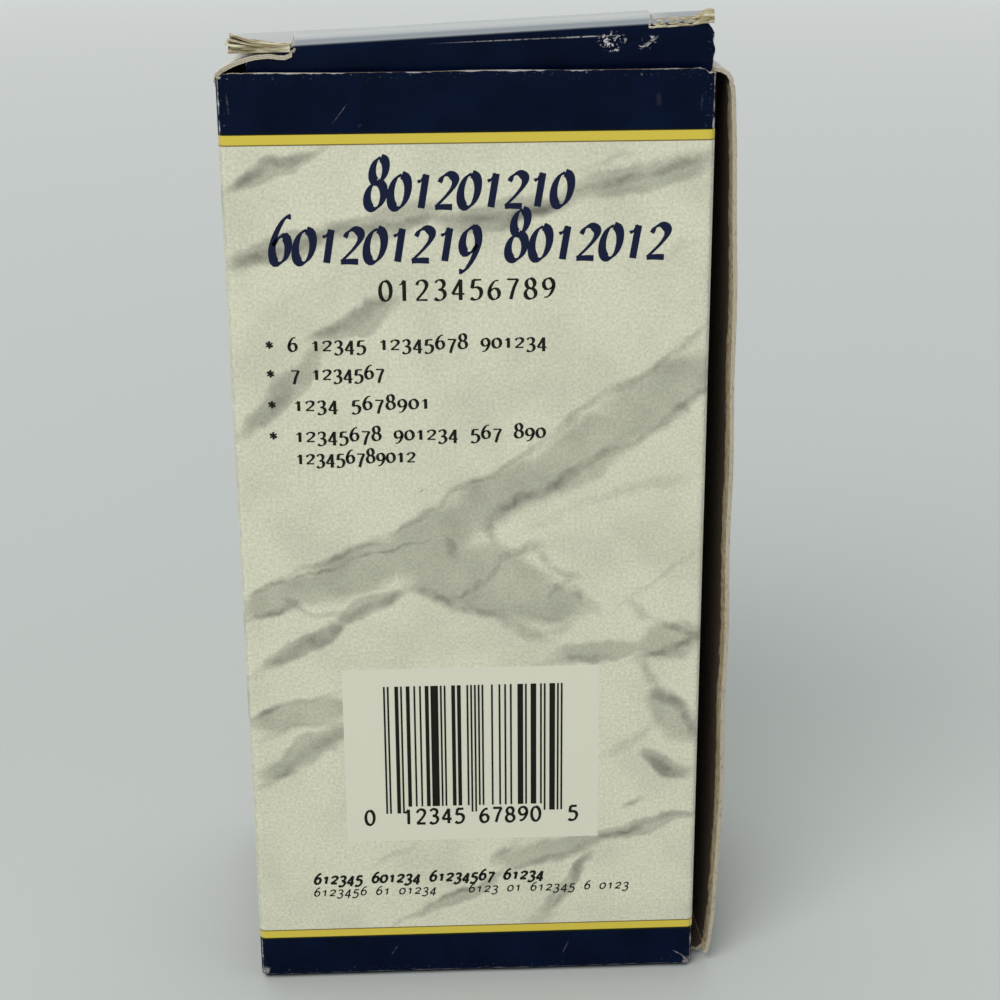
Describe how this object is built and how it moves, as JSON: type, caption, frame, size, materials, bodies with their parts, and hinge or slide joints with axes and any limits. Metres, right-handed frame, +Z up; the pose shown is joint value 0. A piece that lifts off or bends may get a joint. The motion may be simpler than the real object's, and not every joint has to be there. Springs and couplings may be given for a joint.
{
  "type": "boxed numbering machine",
  "caption": "Worn folding carton with a hand numbering machine inside: spring plunger, engraved brass wheels, self-inking pad, stylus, ink bottle and leaflet",
  "frame": {"origin": "middle of the carton's foot, on the surface that it stands on", "axes": "+Z up, +X to the right along the printed front wall, which faces -Y"},
  "size_m": [0.084, 0.06, 0.173],
  "materials": {
    "printed_carton_board": "printed and varnished one side, raw grey on the other",
    "partition_board": "raw grey chipboard",
    "leaflet_paper": "uncoated folded sheet",
    "bottle_plastic": "moulded translucent polythene",
    "stamp_ink": "black oil ink",
    "cap_plastic": "moulded red cap",
    "stylus_wood": "turned and waxed beech",
    "tool_steel": "ground steel point",
    "nickel_plated_frame": "dull nickel plate over steel",
    "nickel_plated_base": "nickel plated casting",
    "machined_steel": "turned steel",
    "blued_screw_steel": "blued screws",
    "bushing_brass": "turned brass",
    "engraved_brass": "engraved brass, inked digits",
    "spring_steel": "oiled spring steel",
    "knob_plastic": "black moulded phenolic",
    "index_plate_enamel": "black enamelled plate with bare metal numbers",
    "pad_felt": "ink soaked wool felt"
  },
  "bodies": {
    "carton": {"carton_wall_shell": "printed_carton_board", "inner_partition": "partition_board"},
    "lid": {"top_lid": "printed_carton_board"},
    "top_tuck": {"top_tuck_flap": "printed_carton_board"},
    "top_dust_left": {"top_dust_flap_left": "printed_carton_board"},
    "side_panel": {"carton_seam_side_panel": "printed_carton_board"},
    "top_dust_right": {"top_dust_flap_right": "printed_carton_board"},
    "lower_lid": {"bottom_lid": "printed_carton_board"},
    "lower_tuck": {"bottom_tuck_flap": "printed_carton_board"},
    "lower_dust_left": {"bottom_dust_flap_left": "printed_carton_board"},
    "lower_dust_right": {"bottom_dust_flap_right": "printed_carton_board"},
    "leaflet": {"instruction_leaflet": "leaflet_paper"},
    "bottle": {"ink_bottle": "bottle_plastic", "ink_fill": "stamp_ink"},
    "bottle_cap": {"ink_bottle_cap": "cap_plastic"},
    "stylus": {"stylus_handle": "stylus_wood", "stylus_tip": "tool_steel"},
    "machine_frame": {"base_foot": "nickel_plated_base", "side_frame_left": "nickel_plated_frame", "side_frame_right": "nickel_plated_frame", "frame_screws": "blued_screw_steel", "top_bridge": "nickel_plated_frame", "guide_bushing": "bushing_brass", "spring_neck": "nickel_plated_frame", "neck_screws": "blued_screw_steel", "back_cover": "nickel_plated_frame", "front_cover": "nickel_plated_frame", "tie_rod": "machined_steel", "return_spring": "spring_steel", "ink_arm_pins": "machined_steel", "selector_index_plate": "index_plate_enamel", "selector_screw": "machined_steel"},
    "plunger": {"plunger_shaft": "machined_steel", "handle_ferrule": "nickel_plated_frame", "handle_knob": "knob_plastic", "handle_screw": "machined_steel", "carriage_yoke": "nickel_plated_frame", "wheel_axle": "machined_steel", "axle_nuts": "machined_steel", "wheel_detent_comb": "spring_steel", "pawl_pin": "machined_steel"},
    "pawl": {"feed_pawl": "machined_steel"},
    "ink_carrier": {"ink_arms": "nickel_plated_frame", "ink_pad_holder": "nickel_plated_frame", "ink_pad": "pad_felt"},
    "selector": {"selector_lever": "nickel_plated_frame"},
    "lock": {"lock_button": "nickel_plated_frame"},
    "wheel_1": {"number_wheel_1": "engraved_brass"},
    "wheel_2": {"number_wheel_2": "engraved_brass"},
    "wheel_3": {"number_wheel_3": "engraved_brass"},
    "wheel_4": {"number_wheel_4": "engraved_brass"},
    "wheel_5": {"number_wheel_5": "engraved_brass"},
    "wheel_6": {"number_wheel_6": "engraved_brass"}
  },
  "joints": [
    {"name": "top_lid_hinge", "type": "hinge", "parent": "carton", "child": "lid", "pos_m": [0, 0.02965, 0.16435], "axis": [-1, 0, 0], "range_deg": [0, 175]},
    {"name": "top_tuck_fold", "type": "hinge", "parent": "lid", "child": "top_tuck", "pos_m": [0, -0.0284, 0.17067], "axis": [-0.9988, 0, -0.0494], "range_deg": [0, 35]},
    {"name": "top_dust_left_fold", "type": "hinge", "parent": "carton", "child": "top_dust_left", "pos_m": [-0.03915, 0, 0.16335], "axis": [0, -1, 0], "range_deg": [0, 80]},
    {"name": "top_dust_right_fold", "type": "hinge", "parent": "side_panel", "child": "top_dust_right", "pos_m": [0.04015, 0.02965, 0.16335], "axis": [-0.0241, 0.9997, 0], "range_deg": [0, 80]},
    {"name": "side_panel_hinge", "type": "hinge", "parent": "carton", "child": "side_panel", "pos_m": [0.04015, 0.02965, 0.082], "axis": [0, 0, 1], "range_deg": [0, 100]},
    {"name": "bottom_lid_hinge", "type": "hinge", "parent": "carton", "child": "lower_lid", "pos_m": [0, -0.02965, 0.00035], "axis": [-1, 0, 0], "range_deg": [0, 100]},
    {"name": "bottom_tuck_fold", "type": "hinge", "parent": "lower_lid", "child": "lower_tuck", "pos_m": [0, 0.0286, 0.00035], "axis": [-1, 0, 0], "range_deg": [0, 20]},
    {"name": "bottom_dust_left_fold", "type": "hinge", "parent": "carton", "child": "lower_dust_left", "pos_m": [-0.03915, 0, 0.00135], "axis": [0, 1, 0], "range_deg": [0, 45]},
    {"name": "bottom_dust_right_fold", "type": "hinge", "parent": "side_panel", "child": "lower_dust_right", "pos_m": [0.04015, 0.02965, 0.00135], "axis": [0.0362, -0.9993, 0], "range_deg": [0, 45]},
    {"name": "leaflet_lift", "type": "slide", "parent": "carton", "child": "leaflet", "axis": [0, 0, 1], "range_m": [0, 0.028]},
    {"name": "ink_bottle_lift", "type": "slide", "parent": "carton", "child": "bottle", "axis": [0, 0, 1], "range_m": [0, 0.095]},
    {"name": "ink_bottle_cap_pull", "type": "slide", "parent": "bottle", "child": "bottle_cap", "axis": [0, 0, 1], "range_m": [0, 0.008]},
    {"name": "stylus_lift", "type": "slide", "parent": "carton", "child": "stylus", "axis": [0, 0, 1], "range_m": [0, 0.04]},
    {"name": "machine_lift", "type": "slide", "parent": "carton", "child": "machine_frame", "axis": [0, 0, 1], "range_m": [0, 0.006]},
    {"name": "plunger_press", "type": "slide", "parent": "machine_frame", "child": "plunger", "axis": [0, 0, -1], "range_m": [0, 0.018], "stiffness_N_per_m": 900, "springref_m": -0.012, "deforming": ["return_spring"]},
    {"name": "wheel_1_spin", "type": "hinge", "parent": "plunger", "child": "wheel_1", "pos_m": [0.006, 0, 0.031], "axis": [0, 1, 0], "continuous": true},
    {"name": "wheel_2_spin", "type": "hinge", "parent": "plunger", "child": "wheel_2", "pos_m": [0.006, 0, 0.031], "axis": [0, 1, 0], "continuous": true},
    {"name": "wheel_3_spin", "type": "hinge", "parent": "plunger", "child": "wheel_3", "pos_m": [0.006, 0, 0.031], "axis": [0, 1, 0], "continuous": true},
    {"name": "wheel_4_spin", "type": "hinge", "parent": "plunger", "child": "wheel_4", "pos_m": [0.006, 0, 0.031], "axis": [0, 1, 0], "continuous": true},
    {"name": "wheel_5_spin", "type": "hinge", "parent": "plunger", "child": "wheel_5", "pos_m": [0.006, 0, 0.031], "axis": [0, 1, 0], "continuous": true},
    {"name": "wheel_6_spin", "type": "hinge", "parent": "plunger", "child": "wheel_6", "pos_m": [0.006, 0, 0.031], "axis": [0, 1, 0], "continuous": true},
    {"name": "feed_pawl_swing", "type": "hinge", "parent": "plunger", "child": "pawl", "pos_m": [-0.006, 0, 0.0435], "axis": [0, 1, 0], "range_deg": [0, 12]},
    {"name": "ink_arm_swing", "type": "hinge", "parent": "machine_frame", "child": "ink_carrier", "pos_m": [0.019, 0, 0.0329], "axis": [0, -1, 0], "range_deg": [0, 80]},
    {"name": "selector_turn", "type": "hinge", "parent": "machine_frame", "child": "selector", "pos_m": [0.0242, 0, 0.06], "axis": [1, 0, 0], "range_deg": [-90, 90]},
    {"name": "lock_button_push", "type": "slide", "parent": "machine_frame", "child": "lock", "axis": [-1, 0, 0], "range_m": [0, 0.002], "stiffness_N_per_m": 400, "springref_m": -0.001}
  ],
  "couplings": [
    {"joint": "top_tuck_fold", "follows": "top_lid_hinge", "ratio": 0.2},
    {"joint": "top_dust_left_fold", "follows": "top_lid_hinge", "ratio": 0.45},
    {"joint": "top_dust_right_fold", "follows": "top_lid_hinge", "ratio": 0.45},
    {"joint": "bottom_tuck_fold", "follows": "bottom_lid_hinge", "ratio": 0.2},
    {"joint": "bottom_dust_left_fold", "follows": "bottom_lid_hinge", "ratio": 0.45},
    {"joint": "bottom_dust_right_fold", "follows": "bottom_lid_hinge", "ratio": 0.45},
    {"joint": "feed_pawl_swing", "follows": "plunger_press", "rad_per_m": 11.636},
    {"joint": "ink_arm_swing", "follows": "plunger_press", "rad_per_m": 77.57}
  ]
}
